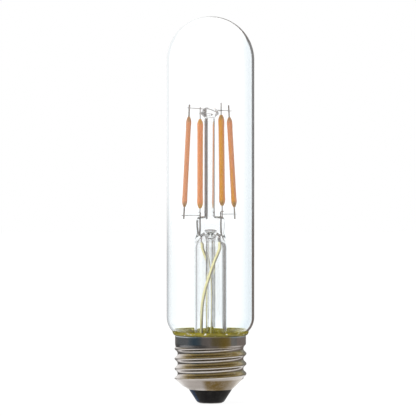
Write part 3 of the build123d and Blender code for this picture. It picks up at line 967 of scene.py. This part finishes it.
@dataclass
class Envelope:
    """The blown tube with its round top and drawn-in neck."""

    radius: float = 15.875
    wall: float = 0.8
    top: float = 140.2
    shoulder: float = 7.5
    shoulder_top: float = 31.195
    sweep: float = 60.0
    neck: float = 11.2
    neck_foot: float = 19.0
    crown_steps: int = 91
    shoulder_steps: int = 31
    crease: float = 60.0
    count: int = 288

    def side(self, inset: float) -> list[Pair]:
        """The glass from its top down to the neck's foot.

        Args:
            inset: The distance inside the outer face.

        Returns:
            Points of (radius, height), without the one on the axis.
        """
        centre = self.radius - self.shoulder
        bend = self.shoulder - inset
        crown = arc((0.0, self.top - self.radius), self.radius - inset, 90.0, 0.0, self.crown_steps)[1:]
        turn = arc((centre, self.shoulder_top), bend, 0.0, -self.sweep, self.shoulder_steps)
        knee = turn[-1]
        neck = self.neck - inset
        neck_top = knee[1] - (knee[0] - neck) / cos(radians(self.sweep / 2))
        return crown + turn + [(neck, neck_top), (neck, self.neck_foot)]

    def build(self) -> None:
        """Make the tube."""
        rings = circles(self.side(0.0) + self.side(self.wall)[::-1], self.count)
        wall = skin(rings, Vector((0, 0, self.top)), Vector((0, 0, self.top - self.wall)))
        Piece("clear_envelope", CLEAR_GLASS, "clear_glass", ["glass_envelope"]).build(self.crease, wall)


@dataclass
class MountGlass:
    """The fused glass of the mount: button, post, press, stem tube, flare and exhaust tube.

    Rings of the press give half the width, half the depth, the squareness and the height; rings of
    the bubble give half the width, half the depth and the height.
    """

    bore: float = 5.05
    post: float = 1.95
    post_shift: float = -0.3
    post_levels: Sequence[float] = (90.0, 80.0, 70.0, 68.2, 67.9, 67.74)
    exhaust: float = 1.75
    exhaust_tip: float = 16.0
    exhaust_level: float = 25.0
    exhaust_top: float = 63.1
    bore_tip: float = 18.0
    cavity_foot: float = 56.8
    roof_sides: float = 61.9
    roof_faces: float = 59.5
    roof_steps: int = 12
    funnel: float = 0.5
    funnel_fade: float = 0.8
    funnel_drops: Sequence[float] = (0.4, 0.9, 1.5, 2.2, 3.2, 4.6)
    arch: float = 1.7
    bluff: float = 1.4
    crease: float = 70.0
    count: int = 120
    button_top: float = 107.2
    button: Profile = ((0.9, 107.18), (1.6, 107.1), (2.05, 106.8), (2.55, 106.3), (3.0, 105.75),
                       (3.26, 105.2), (3.24, 104.75), (2.95, 104.4), (2.45, 104.05), (2.08, 103.6),
                       (1.95, 103.0))
    press: Sequence[tuple[float, float, float, float]] = (
        (3.9, 0.2, 2.4, 67.66), (4.3, 0.5, 2.6, 67.56), (4.6, 0.85, 3.0, 67.38), (4.85, 1.25, 3.6, 67.08),
        (5.04, 1.62, 4.4, 66.62), (5.16, 1.9, 5.2, 66.0), (5.2, 2.05, 6.0, 65.2), (5.17, 2.05, 6.0, 64.2),
        (5.06, 2.05, 6.0, 63.2), (4.98, 2.06, 5.5, 62.3), (4.98, 2.1, 4.6, 61.6), (5.1, 2.24, 3.8, 61.05),
        (5.38, 2.65, 3.0, 60.4), (5.64, 3.45, 2.5, 59.7), (5.82, 4.4, 2.2, 58.9), (5.92, 5.25, 2.0, 58.0),
        (5.95, 5.8, 2.0, 57.2), (5.95, 5.95, 2.0, 56.2))
    bubble: Sequence[Spot] = (
        (0.75, 0.75, 60.2), (0.78, 0.76, 60.6), (1.1, 1.0, 61.05), (1.6, 1.35, 61.55), (2.0, 1.65, 62.0),
        (2.3, 1.75, 62.3), (2.25, 1.7, 62.55), (1.9, 1.4, 62.8), (1.2, 0.9, 62.97), (0.6, 0.45, 63.05))
    flare: Profile = ((5.95, 34.0), (5.95, 28.5), (6.1, 26.2), (6.95, 23.6), (8.6, 21.6), (10.38, 20.2))
    flare_bore: Profile = ((10.38, 19.3), (8.2, 20.9), (6.2, 23.0), (5.28, 25.9), (5.05, 28.5), (5.05, 34.0))
    taper: Profile = ((1.75, 19.4), (1.62, 18.5), (1.2, 17.4), (0.65, 16.5), (0.3, 16.1))
    bore_foot: Profile = ((0.25, 18.2), (0.6, 18.8), (0.75, 20.2))

    def outside(self) -> list[Ring]:
        """The outer face.

        Returns:
            The rings from the button down to the flare's lip.
        """
        rings = circles(smooth(self.button, 3), self.count)
        rings += [circle(self.post, z, self.count) for z in self.post_levels]
        for point in (p for ring in rings for p in ring):
            point.x += self.post_shift
        rings += [self.pressed(*ring) for ring in smooth(self.press, 2)]
        return rings + circles(smooth(self.flare, 4), self.count)

    def pressed(self, wide: float, deep: float, power: float, height: float) -> Ring:
        """A ring of the press, never inside the post that stands on it.

        Args:
            wide: Half its width along X.
            deep: Half its depth along Y.
            power: 2 for an ellipse, more for a squarer ring.
            height: Its height.

        Returns:
            The ring.
        """
        ring = oval(wide, deep, power, height, self.count)
        for point in ring:
            out = Vector((point.x, point.y, 0.0))
            turn = out.x / out.length
            root = self.post_shift * turn + sqrt(self.post**2 - self.post_shift**2 * (1.0 - turn**2))
            out *= (out.length**8 + root**8) ** 0.125 / out.length
            point.x, point.y = out.x, out.y
        return ring

    def cavity(self) -> list[Ring]:
        """The space round the exhaust tube.

        Returns:
            The rings from the flare's lip up the bore and over the pinched roof to the exhaust tube.
        """
        rings = circles(smooth(self.flare_bore, 4), self.count)
        for n in range(self.roof_steps + 1):
            rings.append([self.roof(t, n / self.roof_steps) for t in turns(self.count)])
        return rings

    def roof(self, turn: float, share: float) -> Vector:
        """A point of the pinched roof.

        Args:
            turn: The angle about the axis.
            share: 0 on the bore and 1 where the roof meets the exhaust tube.

        Returns:
            The point.
        """
        flat = abs(sin(turn))
        top = self.roof_sides + (self.roof_faces - self.roof_sides) * flat
        near = self.exhaust + self.funnel
        power = self.arch + (self.bluff - self.arch) * flat
        reach = near + (self.bore - near) * cos(share * pi / 2) ** power
        height = self.cavity_foot + (top - self.cavity_foot) * sin(share * pi / 2)
        return polar(reach, turn, height)

    def exhaust_side(self) -> list[Ring]:
        """The exhaust tube's outer face.

        Returns:
            The rings from the roof down to the sealed tip.
        """
        rings = []
        for drop in self.funnel_drops:
            radius = self.exhaust + self.funnel * exp(-drop / self.funnel_fade)
            ring = []
            for t in turns(self.count):
                top = self.roof_sides + (self.roof_faces - self.roof_sides) * abs(sin(t)) * exp(-drop)
                ring.append(polar(radius, t, top - drop))
            rings.append(ring)
        rings.append(circle(self.exhaust, self.exhaust_level, self.count))
        return rings + circles(smooth(self.taper, 3), self.count)

    def hollow(self) -> list[Ring]:
        """The exhaust tube's bore with the flat bubble at its top.

        Returns:
            The rings from its foot up.
        """
        rings = [(r, r, z) for r, z in smooth(self.bore_foot, 3)] + smooth(self.bubble, 3)
        return [oval(wide, deep, 2.0, z, self.count // 2) for wide, deep, z in rings]

    def build(self) -> None:
        """Make the glass as one fused piece with its closed bore."""
        piece = Piece("mount_glass", MOUNT_GLASS, "stem_glass", ["stem", "exhaust_tube", "glass_post"])
        rings = self.outside() + self.cavity() + self.exhaust_side()
        body = skin(rings, Vector((self.post_shift, 0, self.button_top)), Vector((0, 0, self.exhaust_tip)))
        hollow = skin(self.hollow(), Vector((0, 0, self.bore_tip)), Vector((0, 0, self.exhaust_top)))
        piece.build(self.crease, body, hollow)


@dataclass
class Filaments:
    """The four light filaments: their coats, and the pieces inside and at their ends.

    The amber side of each coat has a turn about the axis, a depth and a tilt along the coat.
    """

    foot_radius: float = 9.95
    head_radius: float = 8.1
    foot_turns: Sequence[float] = (28.7, 112.9, 199.0, 294.5)
    head_turns: Sequence[float] = (31.9, 118.0, 195.9, 298.0)
    foot: float = 71.1
    length: float = 32.7
    lifts: Sequence[float] = (0.0, -0.55, 0.0, 0.45)
    half: Pair = (0.99, 0.8)
    squareness: float = 3.2
    amber: Sequence[Spot] = ((-122.0, 0.62, 0.42), (-5.0, 0.66, 0.0), (-90.0, 0.3, 0.0), (-97.0, 0.92, 0.0))
    # The second filament wears the lighter copy of the coat: painted light.
    coats: Sequence[LightCoat] = (COAT, PAINTED_LIT_COAT, COAT, COAT)
    around: int = 32
    middle_steps: int = 12
    crease: float = 60.0
    end: Profile = ((0.0, 0.45), (0.35, 0.6), (0.9, 0.84), (1.5, 1.0), (2.2, 1.07), (3.2, 1.05), (4.6, 1.0))

    def frame_of(self, index: int) -> tuple[Vector, Vector, Vector, Vector]:
        """Where one filament stands.

        Args:
            index: Which filament.

        Returns:
            Its foot and its directions across, outward and along.
        """
        level = self.foot + self.lifts[index]
        slope = sqrt(self.length**2 - (self.foot_radius - self.head_radius) ** 2)
        foot = polar(self.foot_radius, radians(self.foot_turns[index]), level)
        head = polar(self.head_radius, radians(self.head_turns[index]), level + slope)
        along = (head - foot).normalized()
        middle = (foot + head) / 2
        across = Vector((middle.x, middle.y, 0.0)).cross(along).normalized()
        return foot, across, along.cross(across), along

    def steps(self) -> list[Pair]:
        """The coat's sizes along it.

        Returns:
            Places along the coat and how full it is there.
        """
        low = smooth(self.end, 3)
        high = [(self.length - place, full) for place, full in reversed(low)]
        first, gap, count = low[-1][0], high[0][0] - low[-1][0], self.middle_steps
        middle = [(first + gap * n / count, 1.0) for n in range(1, count)]
        return low + middle + high

    def build(self) -> None:
        """Make the four coats and dress what they hold."""
        for index in range(len(self.lifts)):
            self.coat(index)
            for part, finish in (("strip", STRIP), ("chips", CHIPS), ("pins", PINS)):
                dress(f"filament_{index + 1}_{part}", finish)

    def coat(self, index: int) -> None:
        """Make one coat, and keep how far each point turns to the front, to the amber side and along it.

        Args:
            index: Which filament.
        """
        foot, across, out, along = self.frame_of(index)
        wide, deep = self.half
        turn, depth, tilt = self.amber[index]
        side = polar(1.0, radians(turn), 0.0)
        rings, guide = [], []
        for place, full in reversed(self.steps()):
            ring = []
            share = place / self.length
            amber = depth * (1.0 + tilt * (1.0 - 2.0 * share))
            for p in oval(wide * full, deep * full, self.squareness, 0.0, self.around):
                ring.append(foot + across * p.x + out * p.y + along * place)
                facing = (across * (p.x / wide) + out * (p.y / deep)) / full
                guide.append((-facing.y, facing.dot(side) * amber, share))
            rings.append(ring)
        guide += [(0.0, 0.0, 1.0), (0.0, 0.0, 0.0)]
        name = f"filament_{index + 1}_coat"
        piece = Piece(f"powder_coat_{index + 1}", self.coats[index], "phosphor_coat", [name])
        made = piece.build(self.crease, skin(rings, foot + along * self.length, foot))
        spots = made.data.attributes.new(COAT.guide, "FLOAT_VECTOR", "POINT")
        spots.data.foreach_set("vector", [number for spot in guide for number in spot])


@dataclass
class Leads:
    """The two lead wires, sleeved inside the stem, and the bare wires of the mount."""

    wire: float = 0.25
    wire_count: int = 20
    sleeve: float = 0.56
    sleeve_count: int = 28
    fineness: int = 8
    crease: float = 40.0
    pad_foot: float = 15.4
    back_top: Sequence[Spot] = (
        (-4.2, 9.03, 69.1), (-4.03, 6.0, 69.1), (-3.81, 2.0, 69.08), (-3.7, 0.75, 68.85), (-3.7, 0.15, 68.2),
        (-3.7, 0.0, 67.0), (-3.7, 0.0, 63.5), (-3.7, 0.0, 60.0))
    front_top: Sequence[Spot] = (
        (4.45, -8.9, 69.5), (4.2, -6.0, 69.5), (3.87, -2.0, 69.48), (3.72, -0.75, 69.25), (3.7, -0.15, 68.6),
        (3.7, 0.0, 67.4), (3.7, 0.0, 63.5), (3.7, 0.0, 60.0))
    back_run: Sequence[Spot] = (
        (-3.65, 0.15, 58.2), (-2.75, 1.0, 55.5), (-1.7, 1.9, 52.6), (-0.57, 2.7, 49.3), (0.55, 3.1, 44.5),
        (1.0, 3.15, 40.5), (1.05, 3.15, 36.5), (0.7, 3.3, 28.3), (0.0, 3.7, 22.0), (-0.3, 3.75, 18.7))
    front_run: Sequence[Spot] = (
        (3.6, -0.2, 58.2), (3.1, -0.9, 55.5), (1.2, -2.5, 50.9), (-0.4, -2.95, 46.1), (-1.85, -2.6, 41.2),
        (-2.8, -1.6, 36.4), (-3.2, -0.3, 31.5), (-3.4, 1.4, 27.0), (-3.6, 3.2, 22.0), (-3.6, 3.75, 18.7))
    bare: Sequence[str] = ("support_wire_1", "support_wire_2", "cross_wire_1", "cross_wire_2")

    def path(self, points: Sequence[Spot]) -> list[Vector]:
        """A fine path through points."""
        return [Vector(p) for p in smooth(points, self.fineness)]

    def build(self) -> None:
        """Make both leads and sleeves and dress the bare wires."""
        ways = (("back", self.back_top, self.back_run), ("front", self.front_top, self.front_run))
        for name, top, run in ways:
            foot = (*run[-1][:2], self.pad_foot)
            lead = Piece(f"{name}_lead", LEAD_WIRE, "lead_metal", [f"lead_wire_{name}"])
            lead.build(self.crease, tube(self.path((*top, *run, foot)), self.wire, self.wire_count))
            sleeve = Piece(f"{name}_sleeve", SLEEVE, "lead_sleeve", [f"lead_sleeve_{name}"])
            sleeve.build(self.crease, tube(self.path(run), self.sleeve, self.sleeve_count))
        for name in self.bare:
            dress(name, MOUNT_WIRE)


@dataclass
class Cap:
    """The screw cap: rolled shell, black foot, contact, cement and the driver inside.

    Each step of the cone gives the mean radius, the height and the thread's throw; each point of the
    bead gives its radius, its height and how loose it is.
    """

    collar: float = 12.87
    collar_foot: float = 21.5
    rim: float = 24.6
    lip: Pair = (0.12, 0.15)
    lip_foot: float = 0.6
    mean: float = 12.5
    throw: float = 0.55
    pitch: float = 3.629
    thread_foot: float = 8.85
    thread_head: float = 20.34
    start_turn: float = 180.0
    mouth: Pair = (7.9, 5.0)
    cone: Sequence[Spot] = ((7.9, 5.0, 0.0), (9.6, 6.2, 0.44), (11.1, 7.7, 0.55), (12.5, 8.85, 0.55))
    bore: Profile = ((7.6, 5.0), (9.1, 7.2), (11.4, 9.15), (11.65, 20.34), (12.57, 21.5), (12.57, 24.6))
    crest: float = 0.15
    count: int = 168
    rise: float = 0.12
    shell_crease: float = 50.0
    foot_crease: float = 35.0
    bead_crease: float = 60.0
    foot_side: Profile = ((7.88, 5.0), (7.66, 4.66), (6.5, 2.9), (5.44, 1.25), (4.98, 0.6), (4.6, 0.3),
                          (4.32, 0.2))
    foot_bore: Profile = ((4.31, 1.0), (1.02, 1.0), (1.02, 3.4), (0.27, 3.4), (0.27, 6.6), (8.6, 6.6),
                          (7.6, 5.1))
    foot_count: int = 96
    bead: Sequence[Spot] = (
        (13.84, 25.9, 0.0), (13.82, 25.75, 0.25), (13.76, 25.52, 0.55), (13.66, 25.3, 0.55),
        (13.52, 25.06, 0.55), (13.34, 24.8, 0.55), (13.1, 24.66, 0.25), (12.87, 24.62, 0.0),
        (12.56, 24.6, 0.0), (12.56, 21.5, 0.0), (11.64, 20.35, 0.0), (11.64, 19.5, 0.0),
        (11.24, 19.5, 0.0), (11.24, 23.6, 0.0), (12.17, 24.68, 0.0), (12.72, 25.04, 0.0),
        (13.2, 25.42, 0.0), (13.56, 25.74, 0.0))
    swells: Sequence[Spot] = ((0.10, 3, 0.7), (0.07, 7, 2.1), (0.05, 13, 4.0))
    driver: Sequence[tuple[str, Finish]] = (
        ("centre_contact", CONTACT_TIN), ("driver_board", BOARD), ("rectifier", BLACK_BODY),
        ("current_regulator", BLACK_BODY), ("smoothing_capacitor", CAN_SLEEVE), ("fuse_resistor", FUSE_BODY),
        ("live_wire", DRIVER_WIRE), ("neutral_wire", DRIVER_WIRE))

    def thread(self, turn: float, height: float) -> float:
        """The thread's wave at a point, from -1 in the root to 1 on the crest.

        Args:
            turn: The angle about the axis.
            height: The height.

        Returns:
            The wave.
        """
        held = min(max(height, self.thread_foot), self.thread_head)
        lead = radians(self.start_turn) + 2 * pi * (held - self.thread_foot) / self.pitch
        off = turn - lead
        return cos(off) + self.crest * (cos(2 * off) - 1.0)

    def girth(self, height: float) -> Pair:
        """The shell's mean radius and the thread's throw at a height.

        Args:
            height: The height.

        Returns:
            The radius and the throw.
        """
        if height >= self.thread_head:
            share = min(1.0, (height - self.thread_head) / (self.collar_foot - self.thread_head))
            share = share * share * (3 - 2 * share)
            return self.mean + (self.collar - self.mean) * share, self.throw * (1 - share)
        for (r0, z0, t0), (r1, z1, t1) in zip(self.cone, self.cone[1:]):
            if height <= z1:
                share = (height - z0) / (z1 - z0)
                return r0 + (r1 - r0) * share, t0 + (t1 - t0) * share
        return self.mean, self.throw

    def shell(self) -> None:
        """Make the shell: its threaded outside from the rim down, then its plain bore back up."""
        tuck, drop = self.lip
        rings = circles(((self.collar - tuck, self.rim), (self.collar, self.rim - drop)), self.count)
        height = self.rim - self.lip_foot
        while height > self.mouth[1]:
            mean, throw = self.girth(height)
            rings.append([polar(mean + throw * self.thread(t, height), t, height) for t in turns(self.count)])
            height -= self.rise
        rings += circles((self.mouth, *self.bore), self.count)
        piece = Piece("rolled_shell", SHELL_PLATE, "plated_shell", ["cap_shell"])
        piece.build(self.shell_crease, skin(rings, looped=True))

    def foot(self) -> None:
        """Make the black foot with its rounded edge."""
        rings = circles((*smooth(self.foot_side, 4), *self.foot_bore), self.foot_count)
        piece = Piece("black_foot", FOOT_BLACK, "black_insulator", ["cap_insulator"])
        piece.build(self.foot_crease, skin(rings, looped=True))

    def cement(self) -> None:
        """Make the ring of cement with its uneven bead."""
        swells = [(t, sum(size * sin(waves * t + lead) for size, waves, lead in self.swells))
                  for t in turns(self.count)]
        rings = [[polar(radius + swell * loose, t, height) for t, swell in swells]
                 for radius, height, loose in self.bead]
        piece = Piece("cement_bead", CEMENT, "basing_cement", ["basing_cement"])
        piece.build(self.bead_crease, skin(rings, looped=True))

    def build(self) -> None:
        """Make the cap's pieces and dress the ones inside it."""
        self.shell()
        self.foot()
        self.cement()
        for name, finish in self.driver:
            dress(name, finish)


ROOM = Surround("surround")
FLOOR = PaleFloor("pale_floor", 1.1, 0.85)


@dataclass
class Studio:
    """The table, the room that gloss and glass show, the lamps and the camera."""

    eye: Spot = (-0.907, -887.0, 70.7)
    lens: float = 211.6
    sensor: float = 36.0
    near: float = 10.0
    floor_reach: float = 6000.0
    floor_drop: float = 0.05
    room: Profile = ((750.0, 400.0), (750.0, 1.0), (7.0, 1.0))
    room_count: int = 96
    ambient: float = 0.62
    through: float = 1.17
    ceiling: Pair = (42.0, 54.0)
    mirrored_sky: Colour = (0.48, 0.43, 0.33)
    mirrored_rise: Pair = (34.0, 50.0)
    lamps: Sequence[tuple[str, Spot, float, float]] = (
        ("key_lamp", (-620.0, -560.0, 560.0), 500.0, 4.2),
        ("fill_lamp", (560.0, -700.0, 320.0), 600.0, 1.0),
    )
    bounces: int = 32
    gloss_bounces: int = 12

    def build(self) -> None:
        """Set the stage."""
        reach, level = self.floor_reach, -self.floor_drop
        edge = [Vector((x * reach, y * reach, level)) for x, y in ((-1, -1), (1, -1), (1, 1), (-1, 1))]
        self.show("floor", (edge, [(0, 1, 2, 3)]), FLOOR)
        self.show("room", skin(circles(self.room, self.room_count)), ROOM)
        self.world()
        for lamp in self.lamps:
            self.lamp(*lamp)
        self.camera()
        scene = bpy.context.scene
        scene.view_settings.view_transform = "Standard"
        scene.cycles.max_bounces = self.bounces
        scene.cycles.transmission_bounces = self.bounces
        scene.cycles.glossy_bounces = self.gloss_bounces
        scene.cycles.transparent_max_bounces = self.bounces
        scene.cycles.caustics_refractive = False
        scene.cycles.caustics_reflective = False

    @staticmethod
    def show(name: str, made: Skin, finish: Finish) -> None:
        """Stand a piece of the stage.

        Args:
            name: Its name.
            made: Its points and faces.
            finish: Its finish.
        """
        thing = stand(name, made)
        finish.dress(thing)

    def world(self) -> None:
        """Light the lamp evenly, and show white to the camera and glass and a dim ceiling to gloss."""
        world = bpy.data.worlds.new("studio")
        bpy.context.scene.world = world
        world.use_nodes = True
        graph = Graph(world.node_tree)
        camera, through, glossy = graph.ray(Ray.CAMERA), graph.ray(Ray.THROUGH), graph.ray(Ray.GLOSSY)
        rise = graph.axes(graph.node("TexCoord").outputs["Generated"])[2]
        spans = (self.ceiling, self.mirrored_rise)
        high, sky = (graph.step(rise, *(sin(radians(angle)) for angle in span)) for span in spans)
        overhead = graph.times(high, graph.rest(graph.few(ENVELOPE_FACES)))
        glass = graph.mix(overhead, (self.through,) * 3, DUSK)
        gloss = graph.mix(sky, WHITE, self.mirrored_sky)
        colour = graph.mix(camera, graph.mix(through, gloss, glass), WHITE)
        seen = graph.node("Background", Color=colour, Strength=1.0).outputs[0]
        even = graph.node("Background", Color=WHITE, Strength=self.ambient).outputs[0]
        shown = graph.math("MAXIMUM", graph.math("MAXIMUM", camera, through), glossy)
        graph.node("OutputWorld", Surface=graph.blend(shown, even, seen))

    def lamp(self, name: str, place: Spot, size: float, watts: float) -> None:
        """Hang one soft lamp that faces the middle of the object.

        Args:
            name: The lamp's name.
            place: Where it hangs.
            size: The side of its square face.
            watts: Its power.
        """
        light = bpy.data.lights.new(name, "AREA")
        light.size = size * MM
        light.energy = watts
        made = hang(name, light, place)
        aim = Vector((0.0, 0.0, self.eye[2])) * MM - made.location
        made.rotation_euler = aim.to_track_quat("-Z", "Y").to_euler()
        made.visible_glossy = False
        made.visible_transmission = False

    def camera(self) -> None:
        """Stand the camera level in front of the lamp."""
        data = bpy.data.cameras.new("camera")
        data.sensor_width = self.sensor
        data.lens = self.lens
        data.clip_start = self.near * MM
        made = hang("camera", data, self.eye)
        made.rotation_euler = (pi / 2, 0.0, 0.0)
        bpy.context.scene.camera = made


def main() -> None:
    """Build the lamp's looks piece by piece and log each step."""
    logging.basicConfig(level=logging.INFO, format="%(message)s")
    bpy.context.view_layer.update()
    for assembly in (Envelope(), MountGlass(), Filaments(), Leads(), Cap(), Studio()):
        LOG.info("building %s", type(assembly).__name__)
        assembly.build()


if __name__ == "__main__":
    main()
